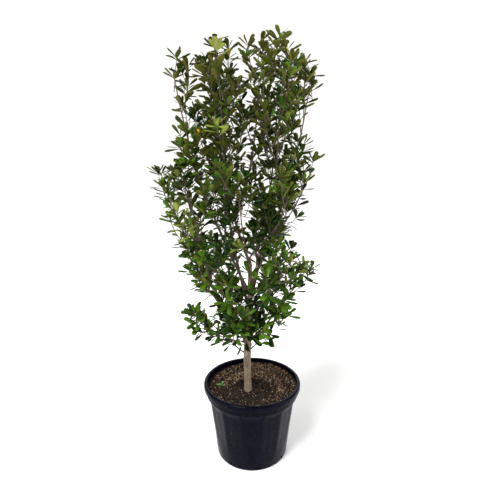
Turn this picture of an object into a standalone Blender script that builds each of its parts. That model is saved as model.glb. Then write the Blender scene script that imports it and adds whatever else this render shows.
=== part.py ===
"""A green lustre karo, a small-leaved evergreen shrub on one stem, in a black plastic nursery pot.

Metres, +Z up. The origin is the centre of the pot's flat underside, and -Y is the front.
The pot, the soil, the trunk and the boughs are one solid each. Every bough carries one mass of
foliage: a stem that goes on from the bough's tip, with side shoots and leaves fused to it.
"""

import math
import random

import bmesh
import bpy
import numpy as np
from mathutils import Matrix, Vector

# Nursery pot
POT_HEIGHT = 0.340
LIP_RADIUS = 0.215
LIP_DROP = 0.024
LIP_ROUND = 0.0077
LIP_UNDERCUT = 0.001
COLLAR_RADIUS = 0.204
COLLAR_FOOT = 0.286
COLLAR_TAPER = 0.001
COLLAR_STEP = 0.003
SHOULDER_RADIUS = 0.196
BASE_RADIUS = 0.157
BASE_ROUND = 0.010
ROUND_STEPS = 2
WALL = 0.0040
FLOOR = 0.0050
FLUTES = 14
STEPS_PER_FLUTE = 3
POT_STEPS = FLUTES * STEPS_PER_FLUTE
FLUTE_DEPTH = 0.0018
FLUTE_TOP = 0.276
FLUTE_FULL = 0.135
FLUTE_FOOT = 0.045
DRAIN_HOLES = 8
DRAIN_RADIUS = 0.0070
DRAIN_HEIGHT = 0.0165
DRAIN_SIDES = 8
DRAIN_REACH = 0.032
DRAIN_TURN = math.radians(10.0)

# Soil
SOIL_LEVEL = 0.288
SOIL_LEVEL_RADIUS = 0.050
SOIL_EDGE_RISE = 0.012
SOIL_HEAP_RISE = 0.026
SOIL_HEAP_TOWARDS = math.radians(50.0)
SOIL_RING_SHARE = 0.60

# Clearances between pieces that touch, and the distance within which points are welded
GAP = 0.0003
SOIL_GAP = 0.00036
STEM_GAP = 0.0005
WELD = 0.000001
NEARLY_ALONG = 0.05
SHARP_ANGLE = math.radians(40.0)

# Trunk: height above the soil, where its axis stands, and its radius there
TRUNK_AXIS = [
    (0.000, -0.0180, 0.000, 0.0195),
    (0.012, -0.0180, 0.000, 0.0172),
    (0.032, -0.0184, 0.000, 0.0158),
    (0.090, -0.0200, 0.001, 0.0154),
    (0.150, -0.0212, 0.002, 0.0158),
    (0.200, -0.0205, 0.001, 0.0166),
    (0.245, -0.0175, 0.000, 0.0150),
    (0.310, -0.0125, -0.001, 0.0138),
    (0.390, -0.0095, 0.000, 0.0124),
    (0.470, -0.0085, 0.001, 0.0108),
    (0.540, -0.0080, 0.001, 0.0092),
    (0.590, -0.0085, 0.000, 0.0080),
]

# Habit of each tier: lean of a tip off the vertical, share of the limb that is bare, and how
# steeply a limb leaves its parent, measured off the vertical
TIERS = {
    "top": (math.radians(9.0), 0.42, math.radians(26.0)),
    "shoulder": (math.radians(20.0), 0.42, math.radians(34.0)),
    "skirt": (math.radians(34.0), 0.34, math.radians(46.0)),
    "foot": (math.radians(66.0), 0.34, math.radians(58.0)),
}

# Limbs: tier, side, parent, height where it leaves the parent, and where its tip is
LIMBS = [
    ("foot", "left", "trunk", 0.462, (-0.205, -0.030, 0.630)),
    ("foot", "right", "trunk", 0.478, (0.105, -0.050, 0.630)),
    ("foot", "back", "trunk", 0.490, (-0.020, 0.150, 0.640)),
    ("foot", "front", "trunk", 0.500, (-0.065, -0.150, 0.640)),
    ("shoulder", "left", "trunk", 0.512, (-0.365, 0.050, 1.190)),
    ("skirt", "right", "trunk", 0.520, (0.250, -0.030, 0.890)),
    ("skirt", "back_left", "trunk", 0.560, (-0.165, 0.205, 0.870)),
    ("skirt", "back_right", "trunk", 0.585, (0.120, 0.205, 0.890)),
    ("skirt", "front_left", "trunk", 0.605, (-0.160, -0.190, 0.880)),
    ("skirt", "front_right", "trunk", 0.640, (0.115, -0.195, 0.880)),
    ("top", "back_left", "trunk", 0.665, (-0.165, 0.180, 1.600)),
    ("top", "back_right", "trunk", 0.705, (0.120, 0.175, 1.630)),
    ("top", "left", "trunk", 0.740, (-0.285, -0.070, 1.590)),
    ("top", "right", "trunk", 0.775, (0.230, 0.060, 1.580)),
    ("shoulder", "inner", "trunk", 0.760, (0.040, -0.105, 1.050)),
    ("shoulder", "front", "trunk", 0.815, (-0.045, -0.235, 1.160)),
    ("top", "crest", "trunk", 0.878, (-0.140, 0.040, 1.675)),
    ("skirt", "left", "shoulder_left", 0.660, (-0.265, 0.040, 0.880)),
    ("shoulder", "front_left", "shoulder_left", 0.740, (-0.245, -0.170, 1.210)),
    ("shoulder", "back_left", "top_back_left", 0.860, (-0.185, 0.235, 1.180)),
    ("shoulder", "back_right", "top_back_right", 0.890, (0.150, 0.225, 1.190)),
    ("top", "front_left", "top_left", 0.960, (-0.110, -0.190, 1.520)),
    ("shoulder", "right", "top_right", 0.930, (0.220, -0.060, 1.235)),
    ("top", "front_right", "top_right", 1.000, (0.105, -0.165, 1.550)),
    ("shoulder", "front_right", "shoulder_front", 0.900, (0.120, -0.190, 1.130)),
    ("top", "middle", "top_crest", 1.060, (0.035, -0.045, 1.635)),
]
TRUNK_SIDES = 12
BOUGH_SIDES = 6
PATH_STEPS = 10
REACH_OF_HANDLES = 0.36
LIMB_RADIUS_LEAST = 0.0026
LIMB_RADIUS_PER_METRE = 0.0042
LIMB_RADIUS_AT_MASS = 0.60
LIMB_RADIUS_AT_TIP = 0.0020

# Shoots and leaves of a mass
SHOOT_SPACING = 0.055
SHOOT_FIRST = 0.06
SHOOT_LAST = 0.94
SHOOT_FEWEST = 3
SHOOT_LENGTH = 0.135
SHOOT_LENGTHS = (0.85, 1.10)
SHOOT_SHORTENS = 0.60
SHOOT_SHORTER = (1.0, 0.75, 0.5)
SHOOT_ANGLE = math.radians(60.0)
SHOOT_ANGLES = (0.85, 1.15)
SHOOT_LIFT = 0.35
SHOOT_RADIUS = 0.0030
SHOOT_RADIUS_AT_TIP = 0.0022
TWIG_SIDES = 3
LEAF_LENGTH = 0.090
LEAF_WIDTH = 0.046
LEAF_THICKNESS = 0.0024
LEAF_SIZES = (0.88, 1.08)
LEAF_WIDEST = 0.62
LEAF_ARCH = 0.0060
LEAF_EDGE_ARCH = 0.35
LEAF_NECK = 0.4
LEAF_SINK = 0.0003
TIP_SINK = 0.0040
LEAF_ROLL = math.radians(18.0)
LEAF_SHARES = (0.28, 0.53, 0.78)
LEAF_ANGLE = math.radians(55.0)
WHORL_LEAVES = 4
WHORL_ANGLE = math.radians(40.0)
LEAF_SPACING = 0.032
GOLDEN_ANGLE = math.radians(137.5)
SPACE_MARGIN = 0.003
LIMB_MARGIN = 0.004

# Colours
POT_COLOUR = (0.014, 0.015, 0.019)
SOIL_COLOUR = (0.095, 0.055, 0.032)
TRUNK_COLOUR = (0.300, 0.235, 0.165)
BOUGH_COLOUR = (0.135, 0.092, 0.068)
LEAF_COLOURS = {
    "top": (0.110, 0.150, 0.045),
    "shoulder": (0.075, 0.130, 0.035),
    "skirt": (0.045, 0.115, 0.024),
    "foot": (0.050, 0.125, 0.026),
}

UP = Vector((0.0, 0.0, 1.0))


def clear_scene():
    """Empty the scene, whatever it started with."""
    for obj in list(bpy.data.objects):
        bpy.data.objects.remove(obj)


def new_collection(name):
    """A collection linked to the scene."""
    collection = bpy.data.collections.new(name)
    bpy.context.scene.collection.children.link(collection)
    return collection


def new_material(name, colour, roughness):
    """A Principled material of one colour."""
    material = bpy.data.materials.new(name)
    material.use_nodes = True
    shader = material.node_tree.nodes["Principled BSDF"]
    shader.inputs["Base Color"].default_value = (*colour, 1.0)
    shader.inputs["Roughness"].default_value = roughness
    shader.inputs["Metallic"].default_value = 0.0
    material.diffuse_color = (*colour, 1.0)
    return material


def new_object(name, mesh, collection):
    """An object of a mesh or curve, in a collection."""
    obj = bpy.data.objects.new(name, mesh)
    collection.objects.link(obj)
    return obj


def finish(obj, colour, roughness):
    """Give an object its own material, and smooth shading between its sharp edges."""
    obj.data.materials.append(new_material(obj.name, colour, roughness))
    obj.data.shade_smooth()
    obj.data.set_sharp_from_angle(angle=SHARP_ANGLE)


def evaluated_mesh(obj, weld):
    """The object's mesh with its modifiers applied and, on request, its loose caps welded."""
    depsgraph = bpy.context.evaluated_depsgraph_get()
    mesh = bpy.data.meshes.new_from_object(obj.evaluated_get(depsgraph))
    if weld:
        work = bmesh.new()
        work.from_mesh(mesh)
        bmesh.ops.remove_doubles(work, verts=work.verts, dist=WELD)
        bmesh.ops.recalc_face_normals(work, faces=work.faces)
        work.to_mesh(mesh)
        work.free()
    return mesh


def as_mesh_object(obj, weld=True):
    """Replace a curve object, or one with modifiers, by a plain mesh object of the same name."""
    name = obj.name
    collection = obj.users_collection[0]
    mesh = evaluated_mesh(obj, weld)
    place = obj.matrix_world.copy()
    bpy.data.objects.remove(obj)
    mesh.name = name
    made = new_object(name, mesh, collection)
    made.matrix_world = place
    return made


def turned(name, profile, steps, collection):
    """A profile of (radius, height) points turned about Z, both ends on the axis."""
    mesh = bpy.data.meshes.new(name)
    points = [(radius, 0.0, height) for radius, height in profile]
    edges = [(index, index + 1) for index in range(len(points) - 1)]
    mesh.from_pydata(points, edges, [])
    obj = new_object(name, mesh, collection)
    screw = obj.modifiers.new("turn", "SCREW")
    screw.axis = "Z"
    screw.angle = math.tau
    screw.steps = steps
    screw.render_steps = steps
    screw.use_merge_vertices = True
    screw.merge_threshold = 0.00001
    screw.use_normal_calculate = True
    return as_mesh_object(obj)


def wall_radius(height):
    """Outer radius of the pot's tapered wall at a height."""
    share = height / COLLAR_FOOT
    return BASE_RADIUS + (SHOULDER_RADIUS - BASE_RADIUS) * share


def arc(centre, radius, start, end, count):
    """Points (r, z) of an arc from one angle to another, in degrees from +r towards +z."""
    turns = [math.radians(start + (end - start) * step / count) for step in range(count + 1)]
    return [(centre[0] + radius * math.cos(turn), centre[1] + radius * math.sin(turn)) for turn in turns]


def flute_depth(turn, height):
    """How far a shallow upright flute is pressed in: full between its top and foot, none on a rib."""
    on_rib = round(turn / math.tau * POT_STEPS) % STEPS_PER_FLUTE == 0
    fade = min(1.0, (height - FLUTE_FOOT) / (FLUTE_FULL - FLUTE_FOOT))
    return 0.0 if on_rib else FLUTE_DEPTH * fade


def make_pot(collection, cutters):
    """A thin-walled tapered pot: rolled lip, plain collar, fluted wall and round-edged base."""
    lip_foot = POT_HEIGHT - LIP_DROP
    lip_centre = (LIP_RADIUS - LIP_ROUND, POT_HEIGHT - LIP_ROUND)
    base_centre = (wall_radius(BASE_ROUND) - BASE_ROUND, BASE_ROUND)
    profile = [
        (0.0, FLOOR),
        (wall_radius(FLOOR) - WALL, FLOOR),
        (wall_radius(COLLAR_FOOT) - WALL, COLLAR_FOOT),
        (COLLAR_RADIUS - WALL, COLLAR_FOOT + WALL),
        (COLLAR_RADIUS - WALL, POT_HEIGHT - WALL),
        *arc(lip_centre, LIP_ROUND, 90.0, 0.0, ROUND_STEPS),
        (LIP_RADIUS, lip_foot),
        (LIP_RADIUS - WALL, lip_foot - LIP_UNDERCUT),
        (COLLAR_RADIUS, lip_foot + LIP_UNDERCUT),
        (COLLAR_RADIUS - COLLAR_TAPER, COLLAR_FOOT + COLLAR_STEP),
        (SHOULDER_RADIUS, COLLAR_FOOT - COLLAR_STEP),
        (wall_radius(FLUTE_TOP), FLUTE_TOP),
        (wall_radius(FLUTE_FULL), FLUTE_FULL),
        (wall_radius(FLUTE_FOOT), FLUTE_FOOT),
        *arc(base_centre, BASE_ROUND, 0.0, -90.0, ROUND_STEPS),
        (0.0, 0.0),
    ]
    pot = turned("pot", profile, POT_STEPS, collection)
    for vertex in pot.data.vertices:
        x, y, z = vertex.co
        radius = math.hypot(x, y)
        outside = radius > wall_radius(z) - WALL / 2.0
        if outside and FLUTE_FOOT < z < FLUTE_TOP + GAP:
            shrink = 1.0 - flute_depth(math.atan2(y, x) % math.tau, z) / radius
            vertex.co = (x * shrink, y * shrink, z)
    cut = pot.modifiers.new("drain_holes", "BOOLEAN")
    cut.operation = "DIFFERENCE"
    cut.object = drain_cutter(cutters)
    finish(pot, POT_COLOUR, 0.38)


def drain_cutter(cutters):
    """Short rods that point outwards through the foot of the wall, one for each drain hole."""
    rods = bmesh.new()
    lying = Matrix.Translation((0.0, -BASE_RADIUS, DRAIN_HEIGHT)) @ Matrix.Rotation(math.pi / 2.0, 4, "X")
    for index in range(DRAIN_HOLES):
        turn = Matrix.Rotation(DRAIN_TURN + math.tau * index / DRAIN_HOLES, 4, "Z")
        bmesh.ops.create_cone(rods, cap_ends=True, segments=DRAIN_SIDES, radius1=DRAIN_RADIUS,
                              radius2=DRAIN_RADIUS, depth=DRAIN_REACH, matrix=turn @ lying)
    mesh = bpy.data.meshes.new("drain_holes")
    rods.to_mesh(mesh)
    rods.free()
    cutter = new_object("drain_holes", mesh, cutters)
    cutter.hide_render = True
    cutter.display_type = "WIRE"
    return cutter


def soil_height(x, y):
    """Height of the soil: level round the trunk, a little higher at the wall, heaped at one side."""
    radius = math.hypot(x, y)
    share = max(0.0, radius - SOIL_LEVEL_RADIUS) / (COLLAR_RADIUS - WALL - SOIL_LEVEL_RADIUS)
    towards_heap = 0.5 + 0.5 * math.cos(math.atan2(y, x) - SOIL_HEAP_TOWARDS)
    return SOIL_LEVEL + share * (SOIL_EDGE_RISE + SOIL_HEAP_RISE * towards_heap * share)


def make_soil(collection):
    """The potting mix: a plug that fills the pot, clear of its wall, with an uneven top."""
    outer = COLLAR_RADIUS - WALL - SOIL_GAP
    edge_level = SOIL_LEVEL + SOIL_EDGE_RISE
    above_step = COLLAR_FOOT + WALL + 2.0 * GAP
    below_step = COLLAR_FOOT + GAP
    profile = [
        (0.0, edge_level),
        (SOIL_LEVEL_RADIUS, edge_level),
        (outer * SOIL_RING_SHARE, edge_level),
        (outer, edge_level),
        (outer, above_step),
        (wall_radius(below_step) - WALL - SOIL_GAP, below_step),
        (wall_radius(FLOOR) - WALL - SOIL_GAP, FLOOR + GAP),
        (0.0, FLOOR + GAP),
    ]
    soil = turned("soil", profile, POT_STEPS, collection)
    for vertex in soil.data.vertices:
        x, y, z = vertex.co
        if z > edge_level - GAP:
            vertex.co.z = soil_height(x, y)
    finish(soil, SOIL_COLOUR, 0.95)


def tube(name, points, radii, sides, collection, section=None):
    """A limb along a path with its own radius at each point, closed by flat ends."""
    curve = bpy.data.curves.new(name, "CURVE")
    curve.dimensions = "3D"
    curve.twist_mode = "MINIMUM"
    curve.use_fill_caps = True
    if section is None:
        curve.bevel_depth = 1.0
        curve.bevel_resolution = (sides - 4) // 2
    else:
        curve.bevel_mode = "OBJECT"
        curve.bevel_object = section
    spline = curve.splines.new("POLY")
    spline.points.add(len(points) - 1)
    for point, place, radius in zip(spline.points, points, radii):
        point.co = (*place, 1.0)
        point.radius = radius
    return as_mesh_object(new_object(name, curve, collection))


def triangle_section(collection):
    """A three-sided section of unit radius for twigs."""
    curve = bpy.data.curves.new("twig_section", "CURVE")
    curve.dimensions = "2D"
    spline = curve.splines.new("POLY")
    spline.points.add(TWIG_SIDES - 1)
    spline.use_cyclic_u = True
    for index, point in enumerate(spline.points):
        turn = math.tau * index / TWIG_SIDES
        point.co = (math.cos(turn), math.sin(turn), 0.0, 1.0)
    section = new_object("twig_section", curve, collection)
    section.hide_render = True
    section.display_type = "WIRE"
    return section


def bezier(start, start_handle, end_handle, end, share):
    """A point on a cubic curve."""
    rest = 1.0 - share
    return (start * rest ** 3 + start_handle * (3.0 * rest ** 2 * share)
            + end_handle * (3.0 * rest * share ** 2) + end * share ** 3)


def along_path(points, radii, height):
    """The place and radius where a rising path passes a height."""
    for low, high, radius_low, radius_high in zip(points, points[1:], radii, radii[1:]):
        if low.z <= height <= high.z:
            share = (height - low.z) / (high.z - low.z)
            return low.lerp(high, share), radius_low + (radius_high - radius_low) * share
    return points[-1].copy(), radii[-1]


def leaning(outward, angle):
    """A direction off the vertical by an angle, towards a level direction."""
    return outward * math.sin(angle) + UP * math.cos(angle)


def limb_path(start, tip, tier):
    """A limb that leaves its parent outwards and turns up to its tip."""
    tip_lean, _, leaving = TIERS[tier]
    across = Vector((tip.x - start.x, tip.y - start.y, 0.0)).normalized()
    outward = Vector((tip.x, tip.y, 0.0)).normalized()
    handle = (tip - start).length * REACH_OF_HANDLES
    start_handle = start + leaning(across, leaving) * handle
    end_handle = tip - leaning(outward, tip_lean) * handle
    return [bezier(start, start_handle, end_handle, tip, step / PATH_STEPS) for step in range(PATH_STEPS + 1)]


def limb_radii(points):
    """Radius along a limb: tapering to where it enters its mass, and on to a thin tip."""
    length = sum((b - a).length for a, b in zip(points, points[1:]))
    start = LIMB_RADIUS_LEAST + LIMB_RADIUS_PER_METRE * length
    shares = [step / PATH_STEPS for step in range(PATH_STEPS + 1)]
    middle = start * LIMB_RADIUS_AT_MASS
    return [start + (middle - start) * min(1.0, 2.0 * share)
            + (LIMB_RADIUS_AT_TIP - middle) * max(0.0, 2.0 * share - 1.0) for share in shares]


def subtract(obj, cutter):
    """Cut one mesh object by another and apply the cut."""
    cut = obj.modifiers.new("cut", "BOOLEAN")
    cut.operation = "DIFFERENCE"
    cut.object = cutter
    return as_mesh_object(obj)


class Segments:
    """Straight stretches of limbs, with radii and owners, for distances to many at once."""

    def __init__(self):
        self.rows = []

    def add(self, points, radii, owner):
        for a, b, radius in zip(points, points[1:], radii):
            self.rows.append((*a, *b, radius, owner))

    def ready(self):
        table = np.array(self.rows, dtype=float)
        self.start = table[:, 0:3]
        self.run = table[:, 3:6] - self.start
        self.radius = table[:, 6]
        self.owner = table[:, 7].astype(int)

    def distances(self, place):
        """Distance from a place to each stretch's middle line."""
        offset = np.array(place) - self.start
        share = np.einsum("ij,ij->i", offset, self.run) / np.einsum("ij,ij->i", self.run, self.run)
        nearest = offset - self.run * np.clip(share, 0.0, 1.0)[:, None]
        return np.linalg.norm(nearest, axis=1)


def in_space(places, owner, stems, limbs):
    """Whether all places lie in the mass's own space: nearer its stem than any other, off all limbs."""
    for place in places:
        distance = stems.distances(place)
        own = distance[stems.owner == owner].min()
        other = distance[stems.owner != owner].min()
        if other - own < SPACE_MARGIN * 2.0:
            return False
        if (limbs.distances(place) - limbs.radius).min() < LIMB_MARGIN:
            return False
    return True


def leaf_mesh():
    """A thick leaf of eight faces: narrow at its foot, broadest past the middle, arched lengthways."""
    work = bmesh.new()
    bmesh.ops.create_uvsphere(work, u_segments=4, v_segments=2, radius=1.0)
    for vertex in work.verts:
        x, y, z = vertex.co
        level = 1.0 - abs(z)
        along = 0.5 + 0.5 * z + (LEAF_WIDEST - 0.5) * level
        arch = LEAF_ARCH * level * (1.0 if abs(x) < 0.5 else LEAF_EDGE_ARCH)
        vertex.co = (x * LEAF_WIDTH / 2.0, y * LEAF_THICKNESS / 2.0 + arch, along * LEAF_LENGTH)
    mesh = bpy.data.meshes.new("leaf")
    work.to_mesh(mesh)
    work.free()
    return mesh


def turned_off(axis, angle, azimuth):
    """A direction off an axis by an angle, at an azimuth round it."""
    side = axis.cross(UP)
    if side.length < NEARLY_ALONG:
        side = Vector((1.0, 0.0, 0.0))
    side.normalize()
    other = axis.cross(side)
    level = side * math.cos(azimuth) + other * math.sin(azimuth)
    return (axis * math.cos(angle) + level * math.sin(angle)).normalized()


def leaf_frame(foot, along, stem_axis, roll, size):
    """Where a leaf lies: its length along one direction, its upper face towards the stem's tip."""
    upper = stem_axis - along * stem_axis.dot(along)
    if upper.length < NEARLY_ALONG:
        upper = Vector((0.0, -1.0, 0.0)) - along * -along.y
    upper.normalize()
    level = upper.cross(along)
    upper = upper * math.cos(roll) + level * math.sin(roll)
    across = upper.cross(along)
    turn = Matrix((across, upper, along)).transposed()
    return Matrix.LocRotScale(foot, turn, Vector((size, size, size)))


def shoot_tip(start, heading, length):
    """Where a short side shoot ends: it leaves at an angle and lifts a little."""
    lifted = (heading * (1.0 - SHOOT_LIFT) + UP * SHOOT_LIFT).normalized()
    return start + lifted * length


class Mass:
    """One mass of foliage: a stem, its side shoots and leaves, joined into one solid."""

    def __init__(self, name, owner, stem, radii, tools):
        self.name = name
        self.owner = owner
        self.stem = stem
        self.radii = radii
        self.collection, self.section, self.leaf, self.stems, self.limbs = tools
        self.dice = random.Random(name)
        self.pieces = new_collection(name + "_pieces")
        self.middles = []

    def fits(self, places):
        """Whether all places lie in this mass's space."""
        return in_space(places, self.owner, self.stems, self.limbs)

    def add_leaf(self, foot, along, stem_axis):
        """Add a leaf, unless it would leave the space or crowd another."""
        size = self.dice.uniform(*LEAF_SIZES)
        roll = self.dice.uniform(-LEAF_ROLL, LEAF_ROLL)
        frame = leaf_frame(foot - along * LEAF_SINK, along, stem_axis, roll, size)
        corners = [frame @ vertex.co for vertex in self.leaf.vertices]
        outline = [place for place in corners if (place - foot).length > LEAF_LENGTH * LEAF_NECK]
        middle = frame @ Vector((0.0, 0.0, LEAF_LENGTH * LEAF_WIDEST))
        crowded = any((middle - other).length < LEAF_SPACING for other in self.middles)
        if crowded or not self.fits(outline):
            return
        self.middles.append(middle)
        leaf = new_object(f"{self.name}_leaf", self.leaf, self.pieces)
        leaf.matrix_world = frame

    def add_shoot(self, start, axis, azimuth, share):
        """Add a side shoot with leaves, shorter where its space is narrow, or none."""
        angle = SHOOT_ANGLE * self.dice.uniform(*SHOOT_ANGLES)
        heading = turned_off(axis, angle, azimuth)
        length = SHOOT_LENGTH * self.dice.uniform(*SHOOT_LENGTHS) * (1.0 - SHOOT_SHORTENS * share)
        for shorter in SHOOT_SHORTER:
            tip = shoot_tip(start, heading, length * shorter)
            if self.fits([tip, start.lerp(tip, 0.5)]):
                break
        else:
            return
        leaves_before = len(self.middles)
        end = (tip - start).normalized()
        self.add_leaf(tip - end * TIP_SINK, end, turned_off(end, math.radians(90.0), azimuth))
        for count, place in enumerate(LEAF_SHARES):
            along = turned_off(end, LEAF_ANGLE, azimuth + math.pi * count)
            self.add_leaf(start.lerp(tip, place), along, end)
        if len(self.middles) > leaves_before:
            radii = [SHOOT_RADIUS, SHOOT_RADIUS_AT_TIP]
            tube(f"{self.name}_shoot", [start, tip], radii, TWIG_SIDES, self.pieces, self.section)

    def build(self):
        """Grow the shoots and leaves along the stem and fuse everything."""
        stem = tube(self.name, self.stem, self.radii, TWIG_SIDES, self.collection, self.section)
        length = sum((b - a).length for a, b in zip(self.stem, self.stem[1:]))
        count = max(SHOOT_FEWEST, round(length / SHOOT_SPACING))
        turn = self.dice.uniform(0.0, math.tau)
        for number in range(count):
            share = SHOOT_FIRST + (SHOOT_LAST - SHOOT_FIRST) * number / (count - 1)
            place = share * (len(self.stem) - 1)
            low = min(int(place), len(self.stem) - 2)
            axis = (self.stem[low + 1] - self.stem[low]).normalized()
            start = self.stem[low].lerp(self.stem[low + 1], place - low)
            self.add_shoot(start, axis, turn, share)
            turn += GOLDEN_ANGLE
        tip = self.stem[-1]
        axis = (tip - self.stem[-2]).normalized()
        self.add_leaf(tip - axis * TIP_SINK, axis, turned_off(axis, math.radians(90.0), turn))
        for number in range(WHORL_LEAVES):
            azimuth = turn + math.tau * number / WHORL_LEAVES
            foot = tip - axis * TIP_SINK * (2.0 + number)
            self.add_leaf(foot, turned_off(axis, WHORL_ANGLE, azimuth), axis)
        return self.fuse(stem)

    def fuse(self, stem):
        """One union of the stem with all its pieces, with loose scraps dropped."""
        union = stem.modifiers.new("union", "BOOLEAN")
        union.operation = "UNION"
        union.operand_type = "COLLECTION"
        union.collection = self.pieces
        union.solver = "MANIFOLD"
        made = as_mesh_object(stem, weld=False)
        for piece in list(self.pieces.objects):
            bpy.data.objects.remove(piece)
        bpy.data.collections.remove(self.pieces)
        keep_largest(made.data)
        return made


def keep_largest(mesh):
    """Keep the mesh's largest body and drop loose scraps."""
    work = bmesh.new()
    work.from_mesh(mesh)
    unseen = set(work.verts)
    bodies = []
    while unseen:
        body = set()
        waiting = [unseen.pop()]
        while waiting:
            vertex = waiting.pop()
            body.add(vertex)
            for link in vertex.link_edges:
                other = link.other_vert(vertex)
                if other in unseen:
                    unseen.discard(other)
                    waiting.append(other)
        bodies.append(body)
    largest = max(bodies, key=len)
    scraps = [vertex for vertex in work.verts if vertex not in largest]
    bmesh.ops.delete(work, geom=scraps, context="VERTS")
    work.to_mesh(mesh)
    work.free()


def make_trunk(collection):
    """The trunk's solid, and its points and radii for what grows on it."""
    points = [Vector((x, y, SOIL_LEVEL + GAP + rise)) for rise, x, y, _ in TRUNK_AXIS]
    radii = [radius for *_, radius in TRUNK_AXIS]
    finish(tube("trunk", points, radii, TRUNK_SIDES, collection), TRUNK_COLOUR, 0.85)
    return points, radii


def make_bough(name, points, radii, parent, sides, collection, cutters):
    """A bough whose foot is cut to its parent's surface, or clear of the trunk's flat top."""
    parent_points, parent_radii = parent
    if points[0] == parent_points[-1]:
        clear = points[0] + (points[1] - points[0]).normalized() * STEM_GAP
        bough = tube(name, [clear] + points[1:], radii, BOUGH_SIDES, collection)
    else:
        wider = [radius + GAP for radius in parent_radii]
        cutter = tube("cutter", parent_points, wider, sides, cutters)
        bough = subtract(tube(name, points, radii, BOUGH_SIDES, collection), cutter)
        bpy.data.objects.remove(cutter)
        keep_largest(bough.data)
    finish(bough, BOUGH_COLOUR, 0.8)


def make_plant(collection, cutters):
    """The trunk, then a bough and a mass of foliage for each limb, in the limbs' order."""
    paths = {"trunk": make_trunk(collection)}
    limbs = Segments()
    stems = Segments()
    limbs.add(*paths["trunk"], -1)
    crowns = []
    for owner, (tier, side, parent, height, tip) in enumerate(LIMBS):
        name = f"{tier}_{side}"
        start, _ = along_path(*paths[parent], height)
        path = limb_path(start, Vector(tip), tier)
        radii = limb_radii(path)
        bare = round(TIERS[tier][1] * PATH_STEPS)
        paths[name] = (path[:bare + 1], radii[:bare + 1])
        sides = TRUNK_SIDES if parent == "trunk" else BOUGH_SIDES
        make_bough(f"bough_{name}", *paths[name], paths[parent], sides, collection, cutters)
        limbs.add(*paths[name], owner)
        stems.add(path[bare:], radii[bare:], owner)
        crowns.append((name, tier, path[bare:], radii[bare:]))
    limbs.ready()
    stems.ready()
    section = triangle_section(cutters)
    tools = (collection, section, leaf_mesh(), stems, limbs)
    for owner, (name, tier, stem, radii) in enumerate(crowns):
        stem[0] = stem[0] + (stem[1] - stem[0]).normalized() * STEM_GAP
        mass = Mass(f"foliage_{name}", owner, stem, radii, tools).build()
        mass.data.materials.append(new_material(mass.name, LEAF_COLOURS[tier], 0.6))
    bpy.data.objects.remove(section)


def main():
    clear_scene()
    collection = new_collection("green_lustre_karo")
    cutters = new_collection("cutters")
    make_pot(collection, cutters)
    make_soil(collection)
    make_plant(collection, cutters)


main()
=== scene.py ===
import math

import bpy
import numpy as np
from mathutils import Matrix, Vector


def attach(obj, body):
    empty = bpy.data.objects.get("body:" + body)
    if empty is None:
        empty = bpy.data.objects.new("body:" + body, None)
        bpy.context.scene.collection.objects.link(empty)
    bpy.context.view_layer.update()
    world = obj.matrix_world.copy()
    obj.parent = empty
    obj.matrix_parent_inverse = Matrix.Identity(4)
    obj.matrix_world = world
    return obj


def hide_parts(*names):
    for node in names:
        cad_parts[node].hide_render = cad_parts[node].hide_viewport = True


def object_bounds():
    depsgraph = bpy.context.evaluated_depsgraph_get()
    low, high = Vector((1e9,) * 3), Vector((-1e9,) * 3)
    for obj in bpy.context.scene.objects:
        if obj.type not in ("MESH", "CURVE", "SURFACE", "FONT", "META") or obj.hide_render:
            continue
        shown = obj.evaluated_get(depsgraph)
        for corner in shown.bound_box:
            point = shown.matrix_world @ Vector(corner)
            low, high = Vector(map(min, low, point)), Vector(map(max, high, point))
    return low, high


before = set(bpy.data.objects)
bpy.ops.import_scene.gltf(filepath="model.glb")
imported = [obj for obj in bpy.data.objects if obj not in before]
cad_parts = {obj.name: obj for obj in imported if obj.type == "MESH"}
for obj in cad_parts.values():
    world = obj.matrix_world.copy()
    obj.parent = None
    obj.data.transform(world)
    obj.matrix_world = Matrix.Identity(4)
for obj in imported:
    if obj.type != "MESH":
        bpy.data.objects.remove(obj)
CAD_BOX = [list(corner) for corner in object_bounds()]

# A green lustre karo in a black nursery pot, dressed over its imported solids. Metres, +Z up,
# origin at the centre of the pot's underside, front towards -Y. Colours are linear red, green
# and blue.
UP = np.array([0.0, 0.0, 1.0])
GOLDEN_ANGLE = math.radians(137.5)
TINY = 1e-9
NUDGE = (1e-4, 0.0, 0.0)
dice = np.random.default_rng(41)

# Patterned finishes: detail of the noise, how much finer its grain is than its coarse part,
# and the span of its value over which the colours and the roughness change. Below, such a
# finish has a pair of roughnesses, at the span's two ends, and a pair of bump strength and height
NOISE_DETAIL = 6.0
GRAIN_FINER = 5.0
COLOUR_SPAN = (0.36, 0.64)
ROUGHNESS_SPAN = (0.35, 0.65)
COAT_ROUGHNESS = 0.22

# Pot: its tapered wall, its collar and its rolled lip. Rounded edges have few or many points
POT_HEIGHT = 0.340
LIP_RADIUS = 0.215
LIP_FOOT = 0.316
LIP_ROUND = 0.0082
COLLAR_RADIUS = 0.204
COLLAR_FOOT = 0.286
SHOULDER_RADIUS = 0.196
BASE_RADIUS = 0.157
BASE_ROUND = 0.010
WALL = 0.004
FLOOR = 0.005
POT_STEPS = 336
EDGE_POINTS = 5
BASE_POINTS = 8
LIP_POINTS = 9
WALL_RINGS = 40
WALL_START = 0.014
WALL_END = 0.280
POT_MIDDLE = 0.02
UNDERSIDE_RING = 0.10
# The shoulder steps out to the collar's rounded lower edge
STEP_FOOT = 0.283
STEP_TOP = 0.2842
STEP_OUT = 0.0012
EDGE_CENTRE = (0.1998, 0.2896)
EDGE_ROUND = 0.0040
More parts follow.
